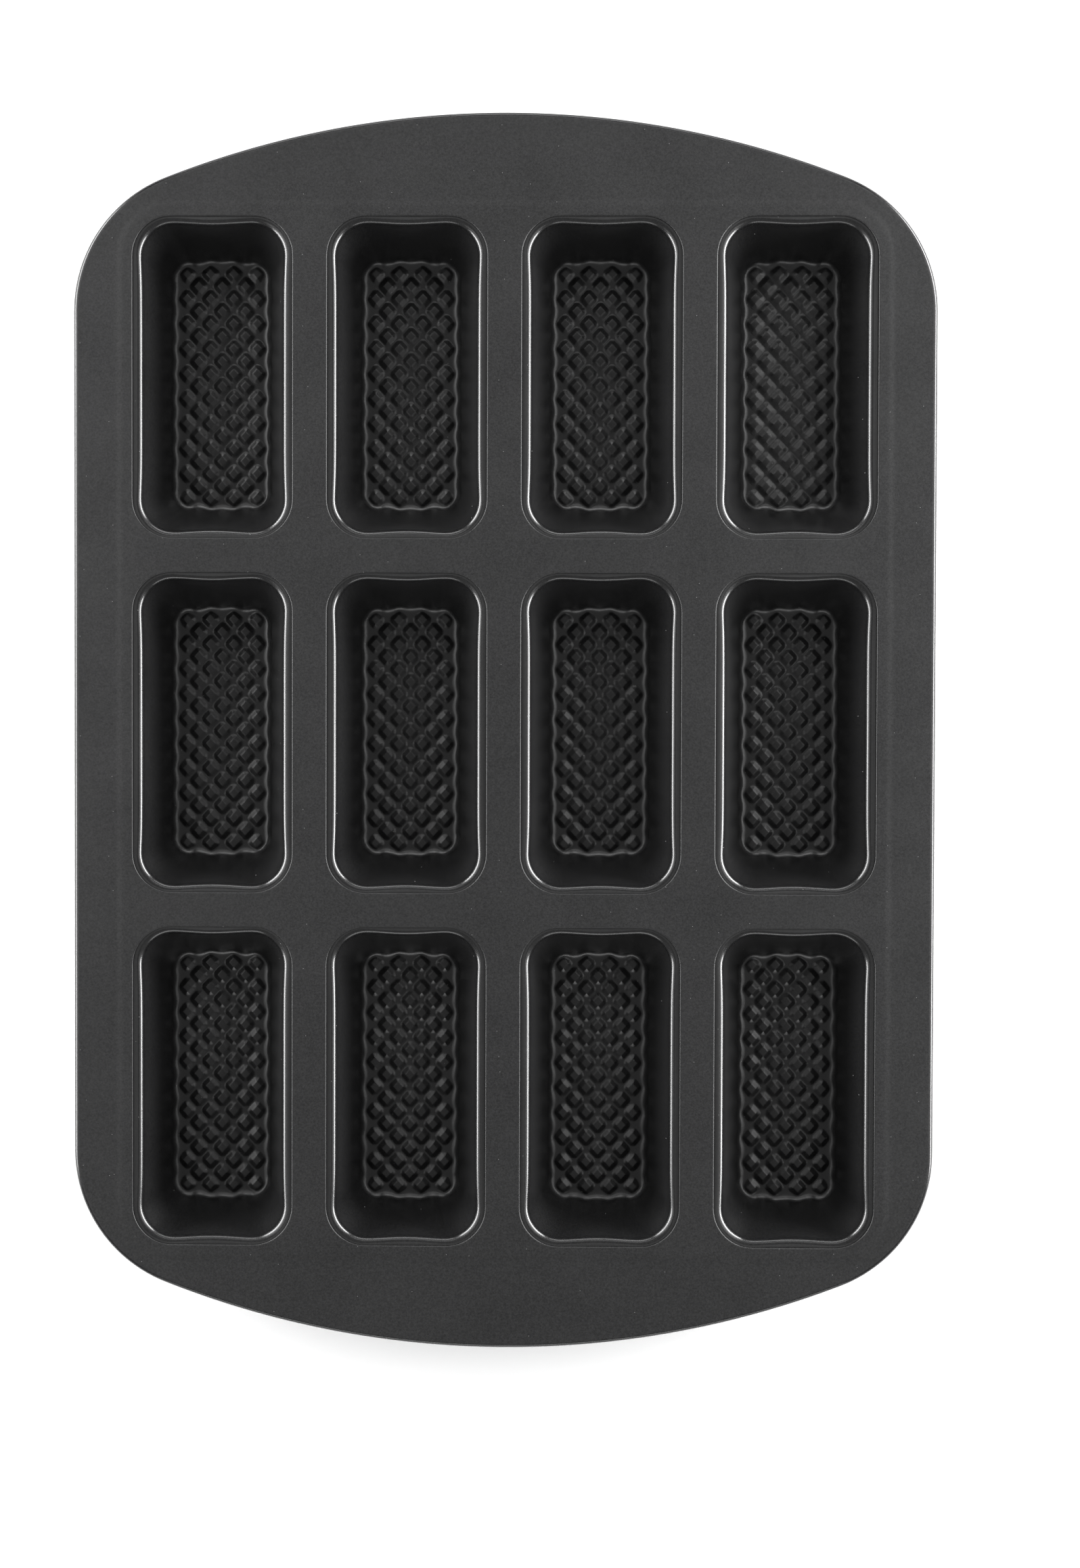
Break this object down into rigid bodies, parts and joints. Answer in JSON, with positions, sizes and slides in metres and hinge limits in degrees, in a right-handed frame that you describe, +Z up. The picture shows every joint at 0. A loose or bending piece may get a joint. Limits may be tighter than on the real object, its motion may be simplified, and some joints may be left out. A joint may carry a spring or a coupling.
{
  "type": "baguette tray",
  "caption": "Non-stick baking tray with bowed ends, a rolled wired rim and a grid of oblong drawn cups with diamond-embossed floors, for short baguettes and bread rolls.",
  "frame": {"origin": "centre of the tray's footprint, on the table under the cups", "axes": "+X across the width, +Y along the length, +Z up out of the cups"},
  "size_m": [0.2786, 0.4, 0.0256],
  "materials": {
    "coated_sheet": "satin dark grey non-stick coating with a fine grain",
    "coated_cup": "satin dark grey non-stick coating, a little glossier than the top sheet",
    "rim_wire": "plain drawn steel wire"
  },
  "bodies": {
    "root": {"top_sheet": "coated_sheet", "rim_wire": "rim_wire", "cup_r1c1": "coated_cup", "cup_r1c2": "coated_cup", "cup_r1c3": "coated_cup", "cup_r1c4": "coated_cup", "cup_r2c1": "coated_cup", "cup_r2c2": "coated_cup", "cup_r2c3": "coated_cup", "cup_r2c4": "coated_cup", "cup_r3c1": "coated_cup", "cup_r3c2": "coated_cup", "cup_r3c3": "coated_cup", "cup_r3c4": "coated_cup"}
  },
  "joints": []
}
